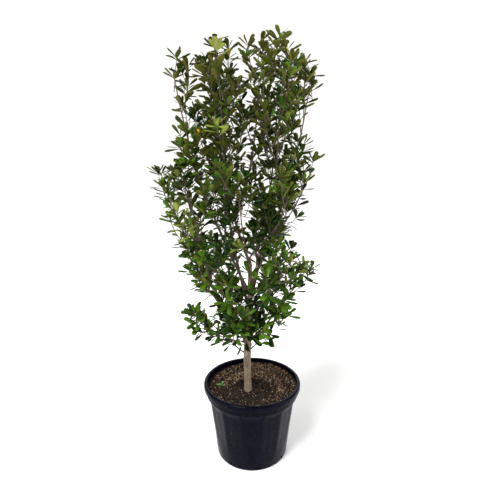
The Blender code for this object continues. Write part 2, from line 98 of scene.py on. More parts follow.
# The collar widens a little up to its neck under the lip
COLLAR_STRAIGHT = 0.298
COLLAR_DRAFT = 0.0004
NECK_OUT = 0.0012
NECK_SLOPE = 0.0006
LIP_EDGE_ROUND = 0.0026
LIP_EDGE_RISE = 0.0016
INNER_ROUND = 0.003
SHARP_ANGLE = math.radians(50.0)

# Flutes pressed into the wall between ribs, and the lip's slow wobble
FLUTES = 14
FLUTE_DEPTH = 0.0034
FLUTE_TOP = 0.279
FLUTE_FOOT = 0.045
FLUTE_FADE = 0.080
FLUTE_TOP_FADE = 0.010
RIB_POWER = 5.0
WOBBLE = 0.0005
WOBBLES_ROUND = 3.0
WOBBLE_TURN = 0.7
WOBBLE_FOOT = 0.276

# Drain holes through the foot of the wall
DRAIN_HOLES = 8
DRAIN_RADIUS = 0.0068
DRAIN_HEIGHT = 0.0165
DRAIN_TURN = math.radians(10.0)
DRAIN_REACH = 0.016
DRAIN_SIDES = 20

# Pot's plastic and the dust on it
PLASTIC = [(0.0006, 0.0006, 0.0040), (0.0012, 0.0012, 0.0055), (0.0030, 0.0030, 0.0090)]
PLASTIC_SCALE = 34.0
PLASTIC_ROUGHNESS = (0.20, 0.32)
PLASTIC_BUMP = (0.05, 0.0005)
PLASTIC_STRETCH = (1.0, 1.0, 0.35)
PLASTIC_SPECULAR = 0.05
DUST_SCALE = 210.0
DUST_DETAIL = 2.0
DUST_SPAN = (0.70, 0.78)
DUST_MOST = 0.5
DUST_COLOUR = (0.16, 0.15, 0.14)

# Potting mix: its level round the trunk, its rise at the wall and its heap
SOIL_LEVEL = 0.288
SOIL_LEVEL_RADIUS = 0.050
SOIL_EDGE_RISE = 0.012
SOIL_HEAP_RISE = 0.026
SOIL_HEAP_TOWARDS = math.radians(50.0)
SOIL_RELIEF = 0.0032
SOIL_FADE = 0.01
SOIL_MIDDLE = 0.003
SOIL_RINGS = 64
SOIL_STEPS = 220
CLEAR = 0.0006
CRUMBS = 26
CRUMB_PITCHES = (0.008, 0.045)
CRUMB_SHARE = 0.12
CRUMB_SEED = 7
MIX = [(0.006, 0.004, 0.003), (0.018, 0.011, 0.007), (0.045, 0.028, 0.018)]
MIX_SCALE = 70.0
MIX_ROUGHNESS = (0.75, 0.95)
MIX_BUMP = (0.6, 0.002)
MIX_SPECULAR = 0.15

# Litter on the mix: count, ranges of length, of width as a share of it and of thickness as a
# share of it, colours, share that gathers on the heap, seed and strength of the bump
LITTER = {
    "bark_chips": (
        2600, (0.004, 0.014), (0.30, 0.65), (0.14, 0.34),
        [(0.050, 0.028, 0.016), (0.165, 0.098, 0.058), (0.420, 0.300, 0.200)], 0.97, 21, 0.5),
    "loose_chips": (
        420, (0.004, 0.012), (0.35, 0.7), (0.2, 0.4),
        [(0.045, 0.026, 0.016), (0.110, 0.066, 0.040), (0.220, 0.150, 0.100)], 0.0, 25, 0.5),
    "dark_crumbs": (
        2600, (0.003, 0.011), (0.45, 0.90), (0.30, 0.60),
        [(0.002, 0.0015, 0.001), (0.012, 0.007, 0.005), (0.060, 0.038, 0.024)], 0.0, 22, 0.6),
    "pale_grit": (
        260, (0.0025, 0.006), (0.7, 1.0), (0.5, 0.9),
        [(0.38, 0.33, 0.26), (0.60, 0.56, 0.48)], 0.75, 23, 0.3),
    "green_specks": (
        110, (0.003, 0.007), (0.5, 0.9), (0.15, 0.3),
        [(0.05, 0.12, 0.02), (0.11, 0.20, 0.04)], 0.1, 24, 0.2),
}
# Each bit's corners and height over the mix vary between two shares of its size
LITTER_SIDES = 6
LITTER_CORNERS = (0.7, 1.15)
LITTER_TILT = 0.38
LITTER_LIFT = (0.0, 0.6)
# Litter keeps off the wall and the trunk; on the heap it gathers in a fan, away from the middle
LITTER_MARGIN = 0.010
TRUNK_ROOM = 0.020
HEAP_TOWARDS = math.radians(72.0)
HEAP_SPREAD = 0.78
HEAP_START = 0.085
HEAP_SQUEEZE = 0.4
LITTER_SCALE = 55.0
LITTER_ROUGHNESS = (0.70, 0.92)
LITTER_BUMP_HEIGHT = 0.0012
LITTER_STRETCH = (1.0, 2.2, 1.4)
LITTER_SPECULAR = 0.15

# Weed seedling: its place, where its leaves point in degrees, and their size and shape
SEEDLING_PLACE = (-0.138, 0.018)
SEEDLING_TURNS = (200.0, 320.0, 80.0, 150.0)
SEEDLING_LIFT = 0.002
SEEDLING_RISE = 0.75
SEEDLING_LENGTHS = (0.030, 0.018)
SEEDLING_WIDTH_SHARE = 0.62
SEEDLING_ARCH = 0.20
SEEDLING_FOLD = 0.10
SEEDLING_COLOUR = (0.055, 0.170, 0.020)
SEEDLING_ROUGHNESS = 0.5

# Trunk: height above its foot, where its axis stands, and its radius there
TRUNK_AXIS = np.array([
    (0.000, -0.0180, 0.000, 0.0195),
    (0.012, -0.0180, 0.000, 0.0172),
    (0.032, -0.0184, 0.000, 0.0158),
    (0.090, -0.0200, 0.001, 0.0154),
    (0.150, -0.0212, 0.002, 0.0158),
    (0.200, -0.0205, 0.001, 0.0166),
    (0.245, -0.0175, 0.000, 0.0150),
    (0.310, -0.0125, -0.001, 0.0138),
    (0.390, -0.0095, 0.000, 0.0124),
    (0.470, -0.0085, 0.001, 0.0108),
    (0.540, -0.0080, 0.001, 0.0092),
    (0.590, -0.0085, 0.000, 0.0080),
])
TRUNK_FOOT = SOIL_LEVEL + 0.0003
TRUNK_RINGS = 300
TRUNK_SIDES = 48
TRUNK_SOFTENING = 9
# Relief as shares of the radius: height, then how many waves, ridges round, pitch and seed
TRUNK_RIDGES = [
    (0.010, (14, (3, 9), (0.05, 0.30), 3)),
    (0.011, (18, (7, 20), (0.010, 0.050), 4)),
]
TRUNK_SCARS = (0.016, (10, (4, 12), (0.008, 0.016), 5))
TRUNK_SCARS_OVER = 1.1
TRUNK_BARK = [(0.110, 0.078, 0.050), (0.235, 0.180, 0.125), (0.390, 0.320, 0.240)]
TRUNK_BARK_SCALE = 55.0
TRUNK_BARK_ROUGHNESS = (0.72, 0.92)
TRUNK_BARK_BUMP = (0.55, 0.0012)
TRUNK_BARK_STRETCH = (1.0, 1.0, 0.45)

# Habit of each tier: lean of a tip off the vertical, share of the limb that is bare, and how
# steeply a limb leaves its parent, measured off the vertical
TIERS = {
    "top": (math.radians(9.0), 0.42, math.radians(26.0)),
    "shoulder": (math.radians(20.0), 0.42, math.radians(34.0)),
    "skirt": (math.radians(34.0), 0.34, math.radians(46.0)),
    "foot": (math.radians(66.0), 0.34, math.radians(58.0)),
}

# Limbs: tier, side, parent, height where it leaves the parent, and where its tip is
LIMBS = [
    ("foot", "left", "trunk", 0.462, (-0.205, -0.030, 0.630)),
    ("foot", "right", "trunk", 0.478, (0.105, -0.050, 0.630)),
    ("foot", "back", "trunk", 0.490, (-0.020, 0.150, 0.640)),
    ("foot", "front", "trunk", 0.500, (-0.065, -0.150, 0.640)),
    ("shoulder", "left", "trunk", 0.512, (-0.365, 0.050, 1.190)),
    ("skirt", "right", "trunk", 0.520, (0.250, -0.030, 0.890)),
    ("skirt", "back_left", "trunk", 0.560, (-0.165, 0.205, 0.870)),
    ("skirt", "back_right", "trunk", 0.585, (0.120, 0.205, 0.890)),
    ("skirt", "front_left", "trunk", 0.605, (-0.160, -0.190, 0.880)),
    ("skirt", "front_right", "trunk", 0.640, (0.115, -0.195, 0.880)),
    ("top", "back_left", "trunk", 0.665, (-0.165, 0.180, 1.600)),
    ("top", "back_right", "trunk", 0.705, (0.120, 0.175, 1.630)),
    ("top", "left", "trunk", 0.740, (-0.285, -0.070, 1.590)),
    ("top", "right", "trunk", 0.775, (0.230, 0.060, 1.580)),
    ("shoulder", "inner", "trunk", 0.760, (0.040, -0.105, 1.050)),
    ("shoulder", "front", "trunk", 0.815, (-0.045, -0.235, 1.160)),
    ("top", "crest", "trunk", 0.878, (-0.140, 0.040, 1.675)),
    ("skirt", "left", "shoulder_left", 0.660, (-0.265, 0.040, 0.880)),
    ("shoulder", "front_left", "shoulder_left", 0.740, (-0.245, -0.170, 1.210)),
    ("shoulder", "back_left", "top_back_left", 0.860, (-0.185, 0.235, 1.180)),
    ("shoulder", "back_right", "top_back_right", 0.890, (0.150, 0.225, 1.190)),
    ("top", "front_left", "top_left", 0.960, (-0.110, -0.190, 1.520)),
    ("shoulder", "right", "top_right", 0.930, (0.220, -0.060, 1.235)),
    ("top", "front_right", "top_right", 1.000, (0.105, -0.165, 1.550)),
    ("shoulder", "front_right", "shoulder_front", 0.900, (0.120, -0.190, 1.130)),
    ("top", "middle", "top_crest", 1.060, (0.035, -0.045, 1.635)),
]
REACH_OF_HANDLES = 0.36
LIMB_RADIUS_LEAST = 0.0026
LIMB_RADIUS_PER_METRE = 0.0042
LIMB_RADIUS_HALFWAY = 0.60
LIMB_RADIUS_AT_TIP = 0.0020
LIMB_STATIONS = 61
LIMB_SIDES = 12
BOUGH_COLLAR = 0.35
BOUGH_COLLAR_FADE = 0.03
BOUGH_RELIEF = 0.045
BOUGH_WAVES = (12, (2, 5), (0.02, 0.16))
BOUGH_BARK = [(0.045, 0.029, 0.022), (0.105, 0.074, 0.055), (0.210, 0.165, 0.125)]
BOUGH_BARK_SCALE = 60.0
BOUGH_BARK_ROUGHNESS = (0.66, 0.88)
BOUGH_BARK_BUMP = (0.5, 0.001)
BOUGH_BARK_STRETCH = (1.0, 1.0, 0.5)
BARK_SPECULAR = 0.3

# Crown outline, leaves included: height, reach to the left and reach to the right
OUTLINE = np.array([
    (0.45, 0.14, 0.12), (0.60, 0.31, 0.15), (0.75, 0.30, 0.27), (0.90, 0.32, 0.31),
    (1.05, 0.38, 0.25), (1.12, 0.40, 0.21), (1.22, 0.44, 0.25), (1.35, 0.39, 0.29),
    (1.45, 0.29, 0.24), (1.58, 0.34, 0.30), (1.66, 0.32, 0.30), (1.72, 0.26, 0.20),
    (1.78, 0.17, 0.12),
])
OUTLINE_DEEPER = 0.01
# A shoot's tip leaves room for its leaves inside the outline, and where another limb is nearer
# it keeps this close to its own
LEAF_ROOM = 0.030
CROSSING = 0.15

# Shoots of each tier: length, angle off the stem, and how far they turn up. Chance multiplies
# angles, sizes and lifts by something between their pair's least and most
SHOOTS = {
    "top": (0.228, math.radians(40.0), 0.46),
    "shoulder": (0.190, math.radians(42.0), 0.42),
    "skirt": (0.160, math.radians(48.0), 0.36),
    "foot": (0.135, math.radians(56.0), 0.26),
}
SHOOT_STATIONS = 6
SHOOT_SIDES = 5
SHOOT_HANDLE = 0.55
SHOOT_SPACING = 0.047
SHOOTS_LEAST = 5
SHOOTS_FROM_TO = (0.03, 0.97)
SHOOT_SHORTENS = 0.22
SHOOT_ANGLES = (0.75, 1.2)
SHOOT_SIZES = (0.75, 1.12)
SHOOT_LIFTS = (0.6, 1.3)
LEADER_LENGTH = 0.070
LEADER_LIFT = 0.3
# Side shoots, on the shoots that are long enough, at two shares of their length
SIDE_SHARES = (0.32, 0.62)
SIDE_FROM_LENGTH = 0.050
SIDE_LENGTH = 0.50
SIDE_SHORTENS = 1.15
SIDE_SIZES = (0.7, 1.1)
SIDE_ANGLE = math.radians(42.0)
SIDE_ANGLES = (0.8, 1.2)
SIDE_LIFT = 0.35
# Small shoots on the bare boughs, from a share of their length on
BARE_SHOOT_START = 0.45
BARE_SHOOT_SPACING = 0.040
BARE_SHOOTS_LEAST = 2
BARE_SHOOT_LENGTH = 0.085
BARE_SHOOT_SIZES = (0.6, 1.1)
BARE_SHOOT_ANGLE = 1.0
BARE_SHOOT_LIFT = 0.35
NO_LIMB = -1
# Twig radius: a least one, and a part by length up to a most; its tip keeps a share of it
TWIG_RADIUS_LEAST = 0.0011
TWIG_RADIUS_PER_METRE = 0.0085
TWIG_LENGTH_MOST = 0.13
TWIG_TIP_SHARE = 0.55

# Leaf shape: stations along it, and six points round it from edge to edge and underneath
LEAF_LENGTH = 0.057
LEAF_WIDTH = 0.0275
LEAF_THICKNESS = 0.0007
LEAF_STALK = 0.0008
LEAF_STATIONS = np.array([0.0, 0.13, 0.30, 0.50, 0.70, 0.88, 0.975])
LEAF_ACROSS = np.array([1.0, 0.52, 0.0, -0.52, -1.0, 0.0])
LEAF_BELOW = np.array([0.0, 0.0, 0.0, 0.0, 0.0, 1.0])
LEAF_MATERIALS = [0, 0, 0, 0, 1, 1]
LEAF_SIDES = 6
SWELL_POWER = 1.05
TIP_POWER = 3.2
SWELL_MOST = 0.70
EDGE_ROLL = 0.30
STALK_SHARE = 0.2
STALK_THICKER = 1.6
ARCH_SHORTENS = 0.35

# How leaves stand on their shoot, with the least and the most that chance multiplies by or
# deals out, and from the first to the last leaf of the whorl at its tip
LEAF_SPACING = 0.0250
LEAVES_FROM_TO = (0.22, 0.90)
LEAF_ANGLE = math.radians(48.0)
LEAF_ANGLES = (0.75, 1.3)
LEAF_SIZES = (0.80, 1.08)
LEAF_WIDTHS = (0.88, 1.12)
LEAF_ARCHES = (0.04, 0.24)
LEAF_FOLDS = (-0.05, 0.22)
WHORL_LEAVES = 5
WHORL_FROM_TO = (1.05, 0.32)
WHORL_ANGLES = (0.85, 1.15)
WHORL_DEPTH = 0.008
WHORL_SIZES = (1.04, 0.70)
FACING_AXIS = 0.75
FACING_UP = 0.55
FACING_SPREAD = 0.22
REACH_SPARE = 0.006

# Tints of sprays: upper and under colours and how rough the upper side is
TINTS = {
    # The darkest row is painted shade, standing in for the shade inside the crown
    "leaves_painted_shade": ((0.008, 0.027, 0.0015), (0.042, 0.054, 0.008), 0.36),
    "leaves_green": ((0.023, 0.068, 0.002), (0.076, 0.090, 0.013), 0.34),
    # The bright row is painted light, standing in for leaves lit on the crown's outside
    "leaves_painted_light": ((0.060, 0.140, 0.006), (0.135, 0.155, 0.028), 0.34),
    # The olive row is painted light shining through the leaves at the top of the crown
    "leaves_olive_painted_backlight": ((0.044, 0.058, 0.004), (0.104, 0.106, 0.018), 0.42),
    "leaves_pale": ((0.190, 0.240, 0.035), (0.270, 0.290, 0.080), 0.45),
    "leaves_yellow": ((0.460, 0.320, 0.020), (0.420, 0.330, 0.060), 0.45),
}
PAINTED_SHADE, GREEN, PAINTED_LIGHT, OLIVE_PAINTED_BACKLIGHT, PALE, YELLOW = range(len(TINTS))
UPPER_COAT = 0.02
UPPER_SPECULAR = 0.10
UNDER_ROUGHNESS = 0.70
UNDER_SPECULAR = 0.06
# Chances of the tints, with what the top of the crown or its outside adds to or takes off them
TOP_FROM = 1.15
TOP_SPAN = 0.45
OUTER_SPAN = 0.28
# The dark tint is painted shade, dealt more often inside the crown
PAINTED_SHADE_CHANCE = 0.50
PAINTED_SHADE_LESS_OUTSIDE = 0.22
# The bright tint is painted light, dealt more often outside the crown
PAINTED_LIGHT_OVER = 0.80
PAINTED_LIGHT_MORE_OUTSIDE = 0.18
# The olive tint is painted light shining through the leaves, dealt more often towards the top
OLIVE_BACKLIGHT_CHANCE_AT_TOP = 0.42
PALE_CHANCE = 0.035
PALE_MORE_AT_TOP = 0.03
YELLOW_CHANCE = 0.002

# Studio: the camera stands where the photo's did
CAMERA_PLACE = (0.0, -1.603, 1.260)
CAMERA_PITCH = math.radians(11.5)
CAMERA_LENS = 28.08
CAMERA_SENSOR = 36.0
CAMERA_SHIFT = -0.004
PAPER_REACH = 30.0
PAPER_COLOUR = (0.92, 0.92, 0.92)
PAPER_ROUGHNESS = 0.9
PAPER_SPECULAR = 0.05
SKY_COLOUR = (1.0, 0.99, 0.97)
SKY_BAND = (0.38, 0.62)
SKY_STRENGTHS = (1.03, 0.12)
SUN_ENERGY = 3.5
SUN_ANGLE = math.radians(22.0)
SUN_TURN = (36.0, 0.0, -38.0)
# Lamps: place, turn in degrees, size and power
LAMPS = {
    "side": ((2.6, -1.0, 2.2), (58.0, 0.0, 68.0), 1.6, 50.0),
    "left": ((-2.5, -0.7, 1.2), (82.0, 0.0, -74.0), 0.6, 14.0),
    "back": ((0.4, 2.6, 3.0), (-42.0, 0.0, 0.0), 2.4, 60.0),
}


# Arrays and meshes


def unit(vectors):
    """Vectors divided by their lengths."""
    return vectors / np.maximum(np.linalg.norm(vectors, axis=-1, keepdims=True), TINY)


def circle(steps):
    """Even turns round a circle, without its end."""
    return np.linspace(0.0, math.tau, steps, endpoint=False)


def run_length(path):
    """The sum of the distances between a path's points."""
    return np.linalg.norm(np.diff(path, axis=0), axis=1).sum()


def waves(angle, height, count, around, along, seed):
    """Bark relief: cosines with a whole number of ridges round and a pitch along each, summed
    and divided by the square root of their count."""
    rolls = np.random.default_rng(seed)
    total = np.zeros(np.broadcast(angle, height).shape)
    for _ in range(count):
        ridges = rolls.integers(*around)
        pitch = rolls.uniform(*along)
        turn = rolls.uniform(0.0, math.tau)
        total += np.cos(ridges * angle + math.tau * height / pitch + turn)
    return total / math.sqrt(count)


def tube_rings(paths, radii, sides):
    """Rings round many paths: each point plus its radius times a turn about the path's
    direction. The radii are one for each ring, or one for each point of each ring."""
    ahead = unit(np.gradient(paths, axis=1))
    mean = unit(paths[:, -1] - paths[:, 0])
    least = np.eye(3)[np.argmin(np.abs(mean), axis=1)][:, None, :]
    side = unit(np.cross(ahead, least + 0.0 * ahead))
    other = np.cross(ahead, side)
    turn = circle(sides)[:, None]
    around = side[:, :, None, :] * np.cos(turn) + other[:, :, None, :] * np.sin(turn)
    radii = radii[..., None, None] if radii.ndim == 2 else radii[..., None]
    return paths[:, :, None, :] + around * radii


def loft_faces(count, stations, sides):
    """Quads between neighbouring rings of many lofts, and an end face at both ends of each."""
    ring = np.arange(sides)
    first = (np.arange(count) * stations * sides)[:, None]
    starts = (first + np.arange(stations - 1) * sides).reshape(-1, 1)
    here, there = starts + ring, starts + (ring + 1) % sides
    quads = np.stack([here, there, there + sides, here + sides], axis=-1).reshape(-1, 4)
    foot = first + ring[::-1]
    tip = first + (stations - 1) * sides + ring
    return [quads, foot, tip]


def new_piece(name, points, face_sets, materials, replaced, picks=None, smooth=True):
    """A mesh from an array of points and arrays of faces, riding on the plant's one body."""
    corners = np.concatenate([faces.ravel() for faces in face_sets]).astype(np.int32)
    counts = np.concatenate([np.full(len(faces), faces.shape[1]) for faces in face_sets])
    starts = np.concatenate([[0], np.cumsum(counts)[:-1]]).astype(np.int32)
    mesh = bpy.data.meshes.new(name)
    mesh.vertices.add(len(points))
    mesh.vertices.foreach_set("co", points.astype(np.float32).ravel())
    mesh.loops.add(len(corners))
    mesh.loops.foreach_set("vertex_index", corners)
    mesh.polygons.add(len(starts))
    mesh.polygons.foreach_set("loop_start", starts)
    mesh.polygons.foreach_set("use_smooth", np.full(len(starts), smooth))
    for material in materials:
        mesh.materials.append(material)
    if picks is not None:
        mesh.polygons.foreach_set("material_index", picks.astype(np.int32))
    mesh.update(calc_edges=True)
    mesh.validate()
    piece = bpy.data.objects.new(name, mesh)
    bpy.context.scene.collection.objects.link(piece)
    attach(piece, "root")
    if replaced:
        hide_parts(*replaced)
    return piece


# Finishes


def plain_finish(name, colour, roughness, coat=0.0, specular=0.5):
    """A finish of one base colour and one roughness."""
    material = bpy.data.materials.new(name)
    material.use_nodes = True
    shader = material.node_tree.nodes["Principled BSDF"]
    shader.inputs["Base Color"].default_value = (*colour, 1.0)
    shader.inputs["Roughness"].default_value = roughness
    shader.inputs["Coat Weight"].default_value = coat
    shader.inputs["Coat Roughness"].default_value = COAT_ROUGHNESS
    shader.inputs["Specular IOR Level"].default_value = specular
    return material


def noise_at(tree, place, scale, detail):
    """The value of a noise of one scale, at a place."""
    noise = tree.nodes.new("ShaderNodeTexNoise")
    noise.inputs["Scale"].default_value = scale
    noise.inputs["Detail"].default_value = detail
    tree.links.new(place, noise.inputs["Vector"])
    return noise.outputs["Fac"]


def mean_of(tree, first, second):
    """The mean of two values: half of the one plus half of the other."""
    half = tree.nodes.new("ShaderNodeMath")
    half.operation = "MULTIPLY"
    half.inputs[1].default_value = 0.5
    tree.links.new(first, half.inputs[0])
    mean = tree.nodes.new("ShaderNodeMath")
    mean.operation = "MULTIPLY_ADD"
    mean.inputs[1].default_value = 0.5
    tree.links.new(second, mean.inputs[0])
    tree.links.new(half.outputs[0], mean.inputs[2])
    return mean.outputs[0]


def straight_line(tree, value, span, ends):
    """A value that goes from one end to the other in a straight line over a span of another."""
    line = tree.nodes.new("ShaderNodeMapRange")
    line.inputs["From Min"].default_value, line.inputs["From Max"].default_value = span
    line.inputs["To Min"].default_value, line.inputs["To Max"].default_value = ends
    tree.links.new(value, line.inputs["Value"])
    return line.outputs["Result"]


def colour_steps(tree, value, colours):
    """Colours at even steps of a value, blended in straight lines between them."""
    ramp = tree.nodes.new("ShaderNodeValToRGB")
    steps = ramp.color_ramp.elements
    stops = np.linspace(*COLOUR_SPAN, len(colours))
    steps[0].position, steps[0].color = stops[0], (*colours[0], 1.0)
    steps[1].position, steps[1].color = stops[-1], (*colours[-1], 1.0)
    for stop, colour in zip(stops[1:-1], colours[1:-1]):
        steps.new(stop).color = (*colour, 1.0)
    tree.links.new(value, ramp.inputs["Fac"])
    return ramp.outputs["Color"]


def mottled_finish(name, colours, scale, roughness, bump, stretch=(1.0, 1.0, 1.0),
                   specular=BARK_SPECULAR):
    """Colour, roughness and bump that all follow one value: the mean of a coarse and a fine
    noise on Object coordinates, which are multiplied by a factor of their own on each axis."""
    material = plain_finish(name, colours[0], roughness[1], specular=specular)
    tree = material.node_tree
    shader = tree.nodes["Principled BSDF"]
    mapping = tree.nodes.new("ShaderNodeMapping")
    mapping.inputs["Scale"].default_value = stretch
    place = tree.nodes.new("ShaderNodeTexCoord")
    tree.links.new(place.outputs["Object"], mapping.inputs["Vector"])
    coarse = noise_at(tree, mapping.outputs["Vector"], scale, NOISE_DETAIL)
    grain = noise_at(tree, mapping.outputs["Vector"], scale * GRAIN_FINER, NOISE_DETAIL)
    value = mean_of(tree, coarse, grain)
    tree.links.new(colour_steps(tree, value, colours), shader.inputs["Base Color"])
    tree.links.new(straight_line(tree, value, ROUGHNESS_SPAN, roughness),
                   shader.inputs["Roughness"])
    relief = tree.nodes.new("ShaderNodeBump")
    relief.inputs["Strength"].default_value, relief.inputs["Distance"].default_value = bump
    tree.links.new(value, relief.inputs["Height"])
    tree.links.new(relief.outputs["Normal"], shader.inputs["Normal"])
    return material


def add_dust(material):
    """Pale dust specks: where a fine noise is highest the base colour turns to grey."""
    tree = material.node_tree
    base = tree.nodes["Principled BSDF"].inputs["Base Color"]
    under = base.links[0].from_socket
    place = tree.nodes.new("ShaderNodeTexCoord")
    specks = noise_at(tree, place.outputs["Object"], DUST_SCALE, DUST_DETAIL)
    blend = tree.nodes.new("ShaderNodeMix")
    blend.data_type = "RGBA"
    blend.inputs["B"].default_value = (*DUST_COLOUR, 1.0)
    tree.links.new(straight_line(tree, specks, DUST_SPAN, (0.0, DUST_MOST)),
                   blend.inputs["Factor"])
    tree.links.new(under, blend.inputs["A"])
    tree.links.new(blend.outputs["Result"], base)


# Pot


def wall_radius(height):
    """Outer radius of the tapered wall: a straight line from base to shoulder."""
    return BASE_RADIUS + (SHOULDER_RADIUS - BASE_RADIUS) * height / COLLAR_FOOT


def arc(centre, radius, start, end, count):
    """Points (r, z) round a centre, from one angle to another in degrees."""
    turns = np.radians(np.linspace(start, end, count))
    return np.stack([centre[0] + radius * np.cos(turns),
                     centre[1] + radius * np.sin(turns)], axis=-1)


def pot_profile():
    """Bottom middle, round base edge, wall, step, collar, rolled lip, then down the inside."""
    heights = np.linspace(WALL_START, WALL_END, WALL_RINGS)
    inside = COLLAR_RADIUS - WALL
    return np.concatenate([
        [(POT_MIDDLE, 0.0), (UNDERSIDE_RING, 0.0)],
        arc((wall_radius(BASE_ROUND) - BASE_ROUND, BASE_ROUND), BASE_ROUND, -90.0, 0.0,
            BASE_POINTS),
        np.stack([wall_radius(heights), heights], axis=-1),
        [(SHOULDER_RADIUS, STEP_FOOT), (SHOULDER_RADIUS + STEP_OUT, STEP_TOP)],
        arc(EDGE_CENTRE, EDGE_ROUND, -70.0, 0.0, EDGE_POINTS),
        [(COLLAR_RADIUS, COLLAR_STRAIGHT), (COLLAR_RADIUS + COLLAR_DRAFT, LIP_FOOT + NECK_SLOPE)],
        [(COLLAR_RADIUS + NECK_OUT, LIP_FOOT - NECK_SLOPE)],
        arc((LIP_RADIUS - LIP_EDGE_ROUND, LIP_FOOT + LIP_EDGE_RISE), LIP_EDGE_ROUND,
            -90.0, 0.0, EDGE_POINTS),
        arc((LIP_RADIUS - LIP_ROUND, POT_HEIGHT - LIP_ROUND), LIP_ROUND, 0.0, 90.0, LIP_POINTS),
        arc((inside + INNER_ROUND, POT_HEIGHT - INNER_ROUND), INNER_ROUND, 90.0, 180.0,
            EDGE_POINTS),
        [(inside, COLLAR_FOOT + WALL), (wall_radius(COLLAR_FOOT) - WALL, COLLAR_FOOT)],
        [(wall_radius(FLOOR) - WALL, FLOOR), (POT_MIDDLE, FLOOR)],
    ])


def make_pot():
    """The profile turned about Z. Outside, the radius loses the flutes' depth times one minus a
    power of a cosine that peaks at each rib, faded out at both ends, and the collar and the lip
    gain a slow wobble of a few waves round."""
    profile = pot_profile()
    radius, height = profile[:, :1], profile[:, 1:]
    turn = circle(POT_STEPS)[None, :]
    fade = np.clip((height - FLUTE_FOOT) / FLUTE_FADE, 0.0, 1.0)
    fade = fade * np.clip((FLUTE_TOP - height) / FLUTE_TOP_FADE, 0.0, 1.0)
    outside = radius > wall_radius(height) - WALL / 2.0
    rib = np.abs(np.cos(turn * FLUTES / 2.0)) ** RIB_POWER
    pressed = FLUTE_DEPTH * fade * outside * (1.0 - rib)
    wobble = WOBBLE * np.cos(WOBBLES_ROUND * turn + WOBBLE_TURN) * (height > WOBBLE_FOOT)
    reach = radius - pressed + wobble * outside
    points = np.stack([reach * np.cos(turn), reach * np.sin(turn), height + 0.0 * turn], axis=-1)
    material = mottled_finish("pot_plastic", PLASTIC, PLASTIC_SCALE, PLASTIC_ROUGHNESS,
                              PLASTIC_BUMP, PLASTIC_STRETCH, PLASTIC_SPECULAR)
    add_dust(material)
    pot = new_piece("pot_shell", points.reshape(-1, 3),
                    loft_faces(1, len(profile), POT_STEPS), [material], ["pot"])
    cut_holes(pot)
    pot.data.set_sharp_from_angle(angle=SHARP_ANGLE)


def drain_rods():
    """Level rods through the wall's foot, evenly round it: their middles stand on the base's
    radius at one height."""
    turn = DRAIN_TURN + circle(DRAIN_HOLES)
    out = np.stack([np.sin(turn), -np.cos(turn), 0.0 * turn], axis=-1)
    middle = out * BASE_RADIUS + UP * DRAIN_HEIGHT
    paths = np.stack([middle - out * DRAIN_REACH, middle + out * DRAIN_REACH], axis=1)
    rings = tube_rings(paths, np.full(paths.shape[:2], DRAIN_RADIUS), DRAIN_SIDES)
    faces = [face for part in loft_faces(DRAIN_HOLES, 2, DRAIN_SIDES) for face in part.tolist()]
    mesh = bpy.data.meshes.new("rods")
    mesh.from_pydata(rings.reshape(-1, 3).tolist(), [], faces)
    return bpy.data.objects.new("rods", mesh)


def cut_holes(pot):
    """The rods taken out of the pot, and the cut mesh kept."""
    rods = drain_rods()
    bpy.context.scene.collection.objects.link(rods)
    cut = pot.modifiers.new("holes", "BOOLEAN")
    cut.operation = "DIFFERENCE"
    cut.solver = "EXACT"
    cut.object = rods
    graph = bpy.context.evaluated_depsgraph_get()
    cut_mesh = bpy.data.meshes.new_from_object(pot.evaluated_get(graph))
    pot.modifiers.clear()
    pot.data = cut_mesh
    bpy.data.objects.remove(rods)


# Potting mix


def soil_height(x, y):
    """Level round the trunk. Past that it rises with the share of the way to the wall, and on
    the heap's side with the square of that share."""
    radius = np.hypot(x, y)
    run = COLLAR_RADIUS - WALL - SOIL_LEVEL_RADIUS
    share = np.maximum(0.0, radius - SOIL_LEVEL_RADIUS) / run
    towards_heap = 0.5 + 0.5 * np.cos(np.arctan2(y, x) - SOIL_HEAP_TOWARDS)
    return SOIL_LEVEL + share * (SOIL_EDGE_RISE + SOIL_HEAP_RISE * towards_heap * share)


def soil_crumbs(x, y):
    """Crumbs of the mix: level cosines of many directions, each as high as its pitch, summed."""
    rolls = np.random.default_rng(CRUMB_SEED)
    total = np.zeros(np.shape(x))
    for pitch in rolls.uniform(*CRUMB_PITCHES, CRUMBS):
        heading = rolls.uniform(0.0, math.tau)
        phase = rolls.uniform(0.0, math.tau)
        ahead = x * math.cos(heading) + y * math.sin(heading)
        total += np.cos(math.tau * ahead / pitch + phase) * pitch
    return total / CRUMB_SHARE * SOIL_RELIEF


def make_soil():
    """A closed plug: its top is the heaped level plus crumbs that fade out at the wall."""
    outer = COLLAR_RADIUS - WALL - CLEAR
    below = np.array([
        (SOIL_MIDDLE, FLOOR + CLEAR),
        (wall_radius(FLOOR) - WALL - CLEAR, FLOOR + CLEAR),
        (wall_radius(COLLAR_FOOT) - WALL - CLEAR, COLLAR_FOOT - CLEAR),
        (outer, COLLAR_FOOT + WALL + CLEAR),
    ])
    top = np.linspace(outer, SOIL_MIDDLE, SOIL_RINGS)[:, None]
    turn = circle(SOIL_STEPS)[None, :]
    x, y = top * np.cos(turn), top * np.sin(turn)
    fade = np.clip((outer - top) / SOIL_FADE, 0.0, 1.0)
    surface = np.stack([x, y, soil_height(x, y) + soil_crumbs(x, y) * fade], axis=-1)
    radius, level = below[:, :1], below[:, 1:]
    sides = np.stack([radius * np.cos(turn), radius * np.sin(turn), level + 0.0 * turn], axis=-1)
    points = np.concatenate([sides, surface])
    material = mottled_finish("potting_mix", MIX, MIX_SCALE, MIX_ROUGHNESS, MIX_BUMP,
                              specular=MIX_SPECULAR)
    new_piece("potting_mix_plug", points.reshape(-1, 3),
              loft_faces(1, len(points), SOIL_STEPS), [material], ["soil"])


